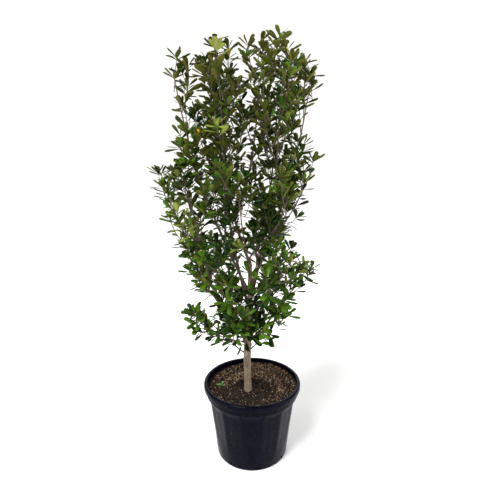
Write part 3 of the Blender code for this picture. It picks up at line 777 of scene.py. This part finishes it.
def scatter_on_soil(count, rolls, heaped):
    """Places on the mix, spread evenly by area, or gathered on the heap and towards the wall."""
    reach = COLLAR_RADIUS - WALL - LITTER_MARGIN
    radius = reach * np.sqrt(rolls.uniform(0.0, 1.0, count))
    turn = rolls.uniform(0.0, math.tau, count)
    pull = rolls.uniform(0.0, 1.0, count) < heaped
    turn = np.where(pull, HEAP_TOWARDS + rolls.normal(0.0, HEAP_SPREAD, count), turn)
    radius = np.where(pull, np.maximum(radius, HEAP_START + HEAP_SQUEEZE * radius), radius)
    x, y = radius * np.cos(turn), radius * np.sin(turn)
    clear_of_trunk = np.hypot(x - TRUNK_AXIS[0, 1], y) > TRUNK_ROOM
    return x[clear_of_trunk], y[clear_of_trunk]


def make_litter(name, count, lengths, widths, depths, colours, heaped, seed, bump):
    """Loose bits: six-sided prisms with uneven corners, turned any way and laid nearly flat on
    the mix, each lifted by its slope times the distance from its middle."""
    rolls = np.random.default_rng(seed)
    x, y = scatter_on_soil(count, rolls, heaped)
    count = len(x)
    length = rolls.uniform(*lengths, count)
    width = length * rolls.uniform(*widths, count)
    thick = length * rolls.uniform(*depths, count)
    spin = rolls.uniform(0.0, math.tau, count)
    tilt = rolls.normal(0.0, LITTER_TILT, (count, 2))
    ring = circle(LITTER_SIDES)
    uneven = rolls.uniform(*LITTER_CORNERS, (count, 2, LITTER_SIDES))
    along = np.cos(ring) * uneven * length[:, None, None] / 2.0
    across = np.sin(ring) * uneven * width[:, None, None] / 2.0
    rise = np.array([-0.5, 0.5])[None, :, None] * thick[:, None, None]
    cos, sin = np.cos(spin)[:, None, None], np.sin(spin)[:, None, None]
    level_x, level_y = along * cos - across * sin, along * sin + across * cos
    lift = level_x * tilt[:, 0, None, None] + level_y * tilt[:, 1, None, None]
    ground = soil_height(x, y) + soil_crumbs(x, y) + thick * rolls.uniform(*LITTER_LIFT, count)
    points = np.stack([x[:, None, None] + level_x, y[:, None, None] + level_y,
                       ground[:, None, None] + rise + lift], axis=-1)
    reach = np.hypot(points[..., 0], points[..., 1]).max(axis=(1, 2))
    kept = points[reach < COLLAR_RADIUS - WALL - CLEAR]
    material = mottled_finish(name, colours, LITTER_SCALE, LITTER_ROUGHNESS,
                              (bump, LITTER_BUMP_HEIGHT), LITTER_STRETCH, LITTER_SPECULAR)
    new_piece(name, kept.reshape(-1, 3), loft_faces(len(kept), 2, LITTER_SIDES), [material],
              [], smooth=False)


# Trunk and boughs


def leaning(outward, angle):
    """A direction off the vertical by an angle, towards a level direction."""
    return outward * math.sin(angle) + UP * math.cos(angle)


def limb_curve(start, tip, tier):
    """A cubic curve that leaves its parent outwards and turns up to its tip."""
    tip_lean, _, leaving = TIERS[tier]
    across = unit((tip - start) * (1.0, 1.0, 0.0))
    outward = unit(tip * (1.0, 1.0, 0.0))
    handle = np.linalg.norm(tip - start) * REACH_OF_HANDLES
    first = start + leaning(across, leaving) * handle
    second = tip - leaning(outward, tip_lean) * handle
    share = np.linspace(0.0, 1.0, LIMB_STATIONS)[:, None]
    rest = 1.0 - share
    return (start * rest ** 3 + first * 3.0 * rest ** 2 * share
            + second * 3.0 * rest * share ** 2 + tip * share ** 3)


def limb_radii(path):
    """Radius along a limb: it starts by the limb's length, and tapers in one straight line to
    halfway and in another to the tip."""
    start = LIMB_RADIUS_LEAST + LIMB_RADIUS_PER_METRE * run_length(path)
    share = np.linspace(0.0, 1.0, len(path))
    middle = start * LIMB_RADIUS_HALFWAY
    return (start + (middle - start) * np.minimum(1.0, 2.0 * share)
            + (LIMB_RADIUS_AT_TIP - middle) * np.maximum(0.0, 2.0 * share - 1.0))


def at_height(path, height):
    """The place where a rising path passes a height."""
    return np.array([np.interp(height, path[:, 2], path[:, axis]) for axis in (0, 1)] + [height])


def make_trunk():
    """Rings up the trunk's softened axis: the radius times one plus lengthways ridges, and plus
    scars where a third sum of waves passes a limit. Returns the axis."""
    rise = np.linspace(0.0, TRUNK_AXIS[-1, 0], TRUNK_RINGS)
    x, y, radius = (np.interp(rise, TRUNK_AXIS[:, 0], TRUNK_AXIS[:, column])
                    for column in (1, 2, 3))
    soften = np.ones(TRUNK_SOFTENING) / TRUNK_SOFTENING
    inner = slice(TRUNK_SOFTENING // 2, -(TRUNK_SOFTENING // 2))
    for values in (x, y, radius):
        values[inner] = np.convolve(values, soften, "valid")
    path = np.stack([x, y, TRUNK_FOOT + rise], axis=-1)
    turn, height = circle(TRUNK_SIDES)[None, :], rise[:, None]
    relief = sum(depth * waves(turn, height, *ridges) for depth, ridges in TRUNK_RIDGES)
    depth, scars = TRUNK_SCARS
    relief += depth * np.clip(waves(turn, height, *scars) - TRUNK_SCARS_OVER, 0.0, 1.0)
    rings = tube_rings(path[None], (radius[:, None] * (1.0 + relief))[None], TRUNK_SIDES)
    material = mottled_finish("trunk_bark", TRUNK_BARK, TRUNK_BARK_SCALE, TRUNK_BARK_ROUGHNESS,
                              TRUNK_BARK_BUMP, TRUNK_BARK_STRETCH)
    new_piece("trunk_bark", rings.reshape(-1, 3), loft_faces(1, len(rise), TRUNK_SIDES),
              [material], ["trunk"])
    return path


def grow_limbs(trunk):
    """Name, tier, curve, radii and first leafy station of each limb, in order, each starting on
    its parent's middle line."""
    curves = {"trunk": trunk}
    limbs = []
    for tier, side, parent, height, tip in LIMBS:
        name = f"{tier}_{side}"
        path = limb_curve(at_height(curves[parent], height), np.array(tip), tier)
        curves[name] = path
        bare = round(TIERS[tier][1] * (LIMB_STATIONS - 1))
        limbs.append((name, tier, path, limb_radii(path), bare))
    return limbs


def make_boughs(limbs, bark):
    """Bark tubes along all limbs to their tips: the radius times a collar that dies away from
    the foot, times one plus waves."""
    paths = np.stack([path for _, _, path, _, _ in limbs])
    radii = np.stack([radius for _, _, _, radius, _ in limbs])
    share = np.linspace(0.0, 1.0, LIMB_STATIONS)
    radii = radii * (1.0 + BOUGH_COLLAR * np.exp(-share / BOUGH_COLLAR_FADE))
    turn = circle(LIMB_SIDES)[None, :]
    relief = np.stack([waves(turn, share[:, None], *BOUGH_WAVES, seed)
                       for seed in range(len(limbs))])
    rings = tube_rings(paths, radii[..., None] * (1.0 + BOUGH_RELIEF * relief), LIMB_SIDES)
    new_piece("bough_bark", rings.reshape(-1, 3),
              loft_faces(len(limbs), LIMB_STATIONS, LIMB_SIDES),
              [bark], [f"bough_{name}" for name, *_ in limbs])


# Shoots


def turned_off(axis, angle, azimuth):
    """Directions off axes by an angle, at an azimuth round each; a nudge gives an upright axis
    a side too."""
    side = unit(np.cross(axis, UP) + NUDGE)
    other = np.cross(axis, side)
    level = side * np.cos(azimuth)[:, None] + other * np.sin(azimuth)[:, None]
    return unit(axis * np.cos(angle)[:, None] + level * np.sin(angle)[:, None])


def fan(count):
    """Azimuths a golden angle apart, from a chance start."""
    return dice.uniform(0.0, math.tau) + GOLDEN_ANGLE * np.arange(count)


def along_stem(path, share):
    """Places on a path at shares of its stations, and its direction there."""
    place = share * (len(path) - 1)
    low = np.minimum(place.astype(int), len(path) - 2)
    part = (place - low)[:, None]
    return path[low] * (1.0 - part) + path[low + 1] * part, unit(path[low + 1] - path[low])


def shoot_paths(start, heading, length, lift):
    """Quadratic curves: out along a heading, then bent up to the tip."""
    lifted = unit(heading * (1.0 - lift)[:, None] + UP * lift[:, None])
    tip = start + lifted * length[:, None]
    middle = start + heading * (length * SHOOT_HANDLE)[:, None]
    share = np.linspace(0.0, 1.0, SHOOT_STATIONS)[None, :, None]
    return (start[:, None] * (1.0 - share) ** 2 + middle[:, None] * 2.0 * share * (1.0 - share)
            + tip[:, None] * share ** 2)


def stem_shoots(stem, tier):
    """Shoots up a mass's stem in a fan, shorter towards its tip, and a leader at the tip."""
    reach, off, turning = SHOOTS[tier]
    count = max(SHOOTS_LEAST, round(run_length(stem) / SHOOT_SPACING))
    share = np.linspace(*SHOOTS_FROM_TO, count)
    start, axis = along_stem(stem, share)
    azimuth = fan(count)
    angle = off * dice.uniform(*SHOOT_ANGLES, count)
    size = reach * dice.uniform(*SHOOT_SIZES, count) * (1.0 - SHOOT_SHORTENS * share)
    lift = turning * dice.uniform(*SHOOT_LIFTS, count)
    shoots = shoot_paths(start, turned_off(axis, angle, azimuth), size, lift)
    leader = shoot_paths(stem[-2:-1], unit(stem[-1:] - stem[-2:-1]),
                         np.array([LEADER_LENGTH]), np.array([LEADER_LIFT]))
    return shoots, size, leader


def side_shoots(shoots, sizes, part):
    """One side shoot on each shoot that is long enough, at a share of its length, and shorter
    the further along it stands."""
    step = int(part * (SHOOT_STATIONS - 1))
    grown = sizes > SIDE_FROM_LENGTH
    count = grown.sum()
    ahead = unit(shoots[grown, step + 1] - shoots[grown, step])
    swing = dice.uniform(0.0, math.tau, count)
    tilt = SIDE_ANGLE * dice.uniform(*SIDE_ANGLES, count)
    size = sizes[grown] * SIDE_LENGTH * dice.uniform(*SIDE_SIZES, count) * (SIDE_SHORTENS - part)
    return shoot_paths(shoots[grown, step], turned_off(ahead, tilt, swing), size,
                       np.full(count, SIDE_LIFT)), size


def bare_shoots(bough):
    """Small shoots in a fan along a bough's bare stretch."""
    count = max(BARE_SHOOTS_LEAST, round(run_length(bough) / BARE_SHOOT_SPACING))
    start, axis = along_stem(bough, np.linspace(0.0, 1.0, count))
    size = BARE_SHOOT_LENGTH * dice.uniform(*BARE_SHOOT_SIZES, count)
    heading = turned_off(axis, np.full(count, BARE_SHOOT_ANGLE), fan(count))
    return shoot_paths(start, heading, size, np.full(count, BARE_SHOOT_LIFT)), size


def nearest_limb(places, limbs, owners):
    """Which limb's leafy stretch each place is nearest to, and how far it is from its own."""
    best = np.full(len(places), np.inf)
    own = np.zeros(len(places))
    owner = np.zeros(len(places), dtype=int)
    for number, (_, _, path, _, bare) in enumerate(limbs):
        gap = np.linalg.norm(places[:, None] - path[None, bare:], axis=2).min(axis=1)
        nearer = gap < best
        best[nearer], owner[nearer] = gap[nearer], number
        own[owners == number] = gap[owners == number]
    return owner, own


def in_outline(places, spare):
    """Whether places lie in the crown: an oval at each height, wider on one side than the
    other."""
    x, y, z = places.T
    left, right = (np.interp(z, OUTLINE[:, 0], OUTLINE[:, side]) - spare for side in (1, 2))
    depth = 0.5 * (left + right) + OUTLINE_DEEPER
    oval = (x / np.where(x < 0.0, left, right)) ** 2 + (y / depth) ** 2
    return (oval < 1.0) & (z < OUTLINE[-1, 0] - spare)


def grow_shoots(limbs):
    """All shoots with their lengths. One is kept if its tip is inside the crown, and if it is
    nearest to its own limb or doesn't cross far from it."""
    groups = []
    for number, (_, tier, path, _, bare) in enumerate(limbs):
        shoots, size, leader = stem_shoots(path[bare:], tier)
        groups.append((np.concatenate([shoots, leader]), np.append(size, LEADER_LENGTH), number))
        for part in SIDE_SHARES:
            groups.append((*side_shoots(shoots, size, part), number))
        groups.append((*bare_shoots(path[int(bare * BARE_SHOOT_START):bare]), NO_LIMB))
    paths = np.concatenate([paths for paths, _, _ in groups])
    sizes = np.concatenate([sizes for _, sizes, _ in groups])
    owners = np.concatenate([np.full(len(paths), number) for paths, _, number in groups])
    tips = paths[:, -1]
    nearest, own = nearest_limb(tips, limbs, owners)
    at_home = (nearest == owners) | (own < CROSSING) | (owners == NO_LIMB)
    kept = in_outline(tips, LEAF_ROOM) & at_home
    return paths[kept], sizes[kept]


# Leaves


def leaf_rings(foot, along, upper, length, width, arch, fold):
    """Leaves as lofts of six points. The half width grows along the leaf by a power and closes
    round its tip. The blade bends back by the square of the share, folds up by the distance from
    its middle, and rolls down by the fourth power of it. The lowest point of each ring is one
    thickness under the middle, and more at the stalk."""
    share = LEAF_STATIONS[None, :]
    swell = share ** SWELL_POWER * np.sqrt(np.clip(1.0 - share ** TIP_POWER, 0.0, 1.0))
    half = np.maximum(width[:, None] / 2.0 * swell / SWELL_MOST, LEAF_STALK)[..., None]
    across = np.cross(upper, along)
    wide = half * LEAF_ACROSS
    rise = (fold[:, None, None] * np.abs(LEAF_ACROSS) - EDGE_ROLL * LEAF_ACROSS ** 4) * half
    thicker = np.where(share < STALK_SHARE, STALK_THICKER, 1.0)[..., None]
    bend = (arch[:, None] * length[:, None] * share ** 2)[..., None]
    rise = rise - LEAF_BELOW * LEAF_THICKNESS * thicker - bend
    forward = length[:, None] * (share - ARCH_SHORTENS * arch[:, None] ** 2 * share ** 3)
    return (foot[:, None, None] + across[:, None, None] * wide[..., None]
            + upper[:, None, None] * rise[..., None]
            + along[:, None, None] * (forward[..., None] + 0.0 * wide)[..., None])


def place_leaves(paths, sizes):
    """Leaves up each shoot in a fan, then a whorl at its tip that stands up more and more.
    Returns their feet, directions, stems' directions, sizes and sprays."""
    feet, alongs, axes, scales, sprays = [], [], [], [], []
    for number, (path, size) in enumerate(zip(paths, sizes)):
        count = max(1, round(size / LEAF_SPACING))
        place, axis = along_stem(path, np.linspace(*LEAVES_FROM_TO, count))
        azimuth = fan(count + WHORL_LEAVES)
        angle = LEAF_ANGLE * dice.uniform(*LEAF_ANGLES, count)
        tip_axis = np.repeat(unit(path[-1:] - path[-2:-1]), WHORL_LEAVES, axis=0)
        tip_angle = np.linspace(*WHORL_FROM_TO, WHORL_LEAVES)
        tip_angle = tip_angle * dice.uniform(*WHORL_ANGLES, WHORL_LEAVES)
        back = np.linspace(WHORL_DEPTH, 0.0, WHORL_LEAVES)[:, None]
        feet += [place, path[-1] - tip_axis * back]
        alongs += [turned_off(axis, angle, azimuth[:count]),
                   turned_off(tip_axis, tip_angle, azimuth[count:])]
        axes += [axis, tip_axis]
        scales += [dice.uniform(*LEAF_SIZES, count), np.linspace(*WHORL_SIZES, WHORL_LEAVES)]
        sprays.append(np.full(count + WHORL_LEAVES, number))
    return [np.concatenate(part) for part in (feet, alongs, axes, scales, sprays)]


def deal_tints(heights, outward):
    """Each spray's tint by chance: the dark tint, painted shade, more often inside; the bright
    tint, painted light, more often outside; the olive tint, painted light shining through the
    leaves, more often towards the top; and a few pale."""
    count = len(heights)
    roll = dice.uniform(0.0, 1.0, count)
    top = np.clip((heights - TOP_FROM) / TOP_SPAN, 0.0, 1.0)
    outer = np.clip(outward / OUTER_SPAN, 0.0, 1.0)
    # Painted shade more often inside the crown, painted light more often outside it
    tint = np.where(roll < PAINTED_SHADE_CHANCE - PAINTED_SHADE_LESS_OUTSIDE * outer, PAINTED_SHADE, GREEN)
    painted_lit = (roll > PAINTED_LIGHT_OVER - PAINTED_LIGHT_MORE_OUTSIDE * outer) & (tint == GREEN)
    tint = np.where(painted_lit, PAINTED_LIGHT, tint)
    # Painted light shining through the leaves, more often towards the top
    tint = np.where(dice.uniform(0.0, 1.0, count) < OLIVE_BACKLIGHT_CHANCE_AT_TOP * top, OLIVE_PAINTED_BACKLIGHT, tint)
    pale = dice.uniform(0.0, 1.0, count) < PALE_CHANCE + PALE_MORE_AT_TOP * top
    return np.where(pale, PALE, tint)


def make_seedling():
    """A weed seedling by the wall: a few small leaves that spread from one point of the mix."""
    count = len(SEEDLING_TURNS)
    foot = np.array([*SEEDLING_PLACE, soil_height(*SEEDLING_PLACE) + SEEDLING_LIFT])
    turn = np.radians(SEEDLING_TURNS)
    along = unit(np.stack([np.cos(turn), np.sin(turn), np.full(count, SEEDLING_RISE)], axis=-1))
    upper = unit(UP - along * along[:, 2:])
    length = np.linspace(*SEEDLING_LENGTHS, count)
    rings = leaf_rings(np.repeat(foot[None], count, axis=0), along, upper, length,
                       length * SEEDLING_WIDTH_SHARE, np.full(count, SEEDLING_ARCH),
                       np.full(count, SEEDLING_FOLD))
    material = plain_finish("seedling_green", SEEDLING_COLOUR, SEEDLING_ROUGHNESS)
    new_piece("weed_seedling", rings.reshape(-1, 3),
              loft_faces(count, len(LEAF_STATIONS), LEAF_SIDES), [material], [])


def leaf_shapes(feet, along, axis, scale):
    """Each leaf's rings: its upper side faces its stem's direction and the sky, with some
    spread, and its width, arch and fold are dealt by chance."""
    count = len(feet)
    spread = dice.normal(0.0, FACING_SPREAD, (count, 3))
    facing = unit(axis * FACING_AXIS + UP * FACING_UP + spread)
    upper = unit(facing - along * np.sum(facing * along, axis=1, keepdims=True))
    width = LEAF_WIDTH * scale * dice.uniform(*LEAF_WIDTHS, count)
    arch = dice.uniform(*LEAF_ARCHES, count)
    fold = dice.uniform(*LEAF_FOLDS, count)
    return leaf_rings(feet, along, upper, LEAF_LENGTH * scale, width, arch, fold)


def make_leaves(paths, sizes, masses):
    """The leaves whose tips keep inside the solids' box or just past it, one mesh a tint."""
    feet, along, axis, scale, spray = place_leaves(paths, sizes)
    tips = feet + along * (LEAF_LENGTH * scale)[:, None]
    low, high = np.array(CAD_BOX[0]) - REACH_SPARE, np.array(CAD_BOX[1]) + REACH_SPARE
    kept = np.all((tips > low) & (tips < high), axis=1)
    shoot_tips = paths[:, -1]
    tint = deal_tints(shoot_tips[:, 2], np.hypot(shoot_tips[:, 0], shoot_tips[:, 1]))[spray]
    tint = np.where(dice.uniform(0.0, 1.0, len(feet)) < YELLOW_CHANCE, YELLOW, tint)
    rings = leaf_shapes(feet, along, axis, scale)
    stations = len(LEAF_STATIONS)
    for number, (name, (top, under, roughness)) in enumerate(TINTS.items()):
        chosen = rings[kept & (tint == number)]
        materials = [
            plain_finish(name + "_upper", top, roughness, UPPER_COAT, UPPER_SPECULAR),
            plain_finish(name + "_under", under, UNDER_ROUGHNESS, specular=UNDER_SPECULAR),
        ]
        picks = np.tile(LEAF_MATERIALS, len(chosen) * (stations - 1))
        picks = np.concatenate([picks, np.zeros(2 * len(chosen))])
        new_piece(name, chosen.reshape(-1, 3), loft_faces(len(chosen), stations, LEAF_SIDES),
                  materials, masses, picks)


def make_twigs(paths, sizes, masses, bark):
    """Tubes along all shoots, thicker on longer ones and thinner towards their tips."""
    thin = np.linspace(1.0, TWIG_TIP_SHARE, SHOOT_STATIONS)[None, :]
    foot = TWIG_RADIUS_LEAST + TWIG_RADIUS_PER_METRE * np.minimum(sizes, TWIG_LENGTH_MOST)
    rings = tube_rings(paths, thin * foot[:, None], SHOOT_SIDES)
    new_piece("twigs", rings.reshape(-1, 3),
              loft_faces(len(paths), SHOOT_STATIONS, SHOOT_SIDES), [bark], masses)


# Studio


def make_camera():
    """The photo's view: towards +Y, and down by its pitch."""
    camera = bpy.data.objects.new("camera", bpy.data.cameras.new("camera"))
    camera.data.lens = CAMERA_LENS
    camera.data.sensor_width = CAMERA_SENSOR
    camera.data.shift_x = CAMERA_SHIFT
    camera.location = CAMERA_PLACE
    camera.rotation_euler = (math.pi / 2.0 - CAMERA_PITCH, 0.0, 0.0)
    bpy.context.scene.collection.objects.link(camera)
    bpy.context.scene.camera = camera


def make_paper():
    """One large pale square on the ground."""
    far = PAPER_REACH
    mesh = bpy.data.meshes.new("floor")
    mesh.from_pydata([(-far, -far, 0.0), (far, -far, 0.0), (far, far, 0.0), (-far, far, 0.0)],
                     [], [(0, 1, 2, 3)])
    mesh.materials.append(
        plain_finish("floor_paper", PAPER_COLOUR, PAPER_ROUGHNESS, specular=PAPER_SPECULAR))
    floor = bpy.data.objects.new("floor", mesh)
    bpy.context.scene.collection.objects.link(floor)


def make_sky():
    """A sky whose strength falls in a straight line, over a band of heights of the direction,
    from white at the horizon to dim overhead."""
    world = bpy.data.worlds.new("studio")
    world.use_nodes = True
    tree = world.node_tree
    background = tree.nodes["Background"]
    place = tree.nodes.new("ShaderNodeTexCoord")
    parts = tree.nodes.new("ShaderNodeSeparateXYZ")
    tree.links.new(place.outputs["Generated"], parts.inputs["Vector"])
    strength = straight_line(tree, parts.outputs["Z"], SKY_BAND, SKY_STRENGTHS)
    tree.links.new(strength, background.inputs["Strength"])
    background.inputs["Color"].default_value = (*SKY_COLOUR, 1.0)
    bpy.context.scene.world = world


def turn_lamp(lamp, turn):
    """Turn a lamp by angles in degrees and put it in the scene."""
    lamp.rotation_euler = [math.radians(angle) for angle in turn]
    bpy.context.scene.collection.objects.link(lamp)


def make_lamps():
    """Soft lamps round the plant and a soft sun as the key."""
    for name, (place, turn, size, power) in LAMPS.items():
        lamp = bpy.data.objects.new(name, bpy.data.lights.new(name, "AREA"))
        lamp.data.size = size
        lamp.data.energy = power
        lamp.location = place
        turn_lamp(lamp, turn)
    sun = bpy.data.objects.new("key", bpy.data.lights.new("key", "SUN"))
    sun.data.energy = SUN_ENERGY
    sun.data.angle = SUN_ANGLE
    turn_lamp(sun, SUN_TURN)


def main():
    """Studio first, then pot and mix, trunk, boughs and foliage."""
    make_camera()
    make_paper()
    make_sky()
    make_lamps()
    bpy.context.scene.view_settings.view_transform = "Standard"
    make_pot()
    make_soil()
    for name, row in LITTER.items():
        make_litter(name, *row)
    make_seedling()
    bark = mottled_finish("bough_bark", BOUGH_BARK, BOUGH_BARK_SCALE, BOUGH_BARK_ROUGHNESS,
                          BOUGH_BARK_BUMP, BOUGH_BARK_STRETCH)
    limbs = grow_limbs(make_trunk())
    make_boughs(limbs, bark)
    masses = [f"foliage_{name}" for name, *_ in limbs]
    paths, sizes = grow_shoots(limbs)
    make_leaves(paths, sizes, masses)
    make_twigs(paths, sizes, masses, bark)


main()
